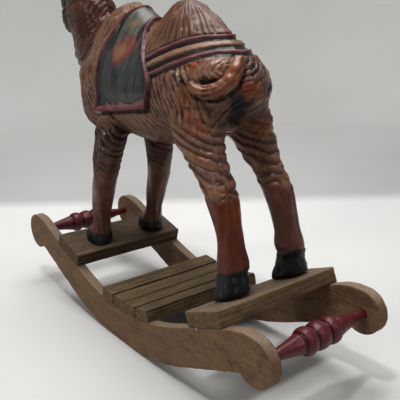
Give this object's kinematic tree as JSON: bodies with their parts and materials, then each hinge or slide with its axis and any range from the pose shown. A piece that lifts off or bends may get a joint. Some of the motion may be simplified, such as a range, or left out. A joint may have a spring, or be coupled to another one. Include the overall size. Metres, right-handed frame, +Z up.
{
  "type": "carved rocking camel",
  "caption": "Hand-carved varnished wooden two-humped camel with a painted saddle blanket, standing on a wooden rocker base with turned red spindles.",
  "frame": {"origin": "on the floor under the middle of the rocker, between the flat soles of the two runners", "axes": "+Z up, +X towards the camel's tail, -Y to the camel's left"},
  "size_m": [0.448, 0.13, 0.3999],
  "materials": {
    "base_wood": "aged, thin dull varnish",
    "carved_wood": "carved, stained and painted under glossy varnish",
    "red_spindle": "worn dull red paint",
    "dowel_wood": "raw",
    "screw_steel": "zinc",
    "pin_steel": "dulled"
  },
  "bodies": {
    "root": {"left_runner": "base_wood", "right_runner": "base_wood", "front_board": "base_wood", "rear_board": "base_wood", "slat_1": "base_wood", "slat_2": "base_wood", "slat_3": "base_wood", "slat_4": "base_wood", "front_spindle": "red_spindle", "rear_spindle": "red_spindle", "torso": "carved_wood", "neck_and_head": "carved_wood", "front_left_leg": "carved_wood", "front_right_leg": "carved_wood", "rear_left_leg": "carved_wood", "rear_right_leg": "carved_wood", "neck_dowel": "dowel_wood", "leg_dowels": "dowel_wood", "leg_screws": "screw_steel", "board_pins": "pin_steel", "slat_pins": "pin_steel"}
  },
  "joints": []
}
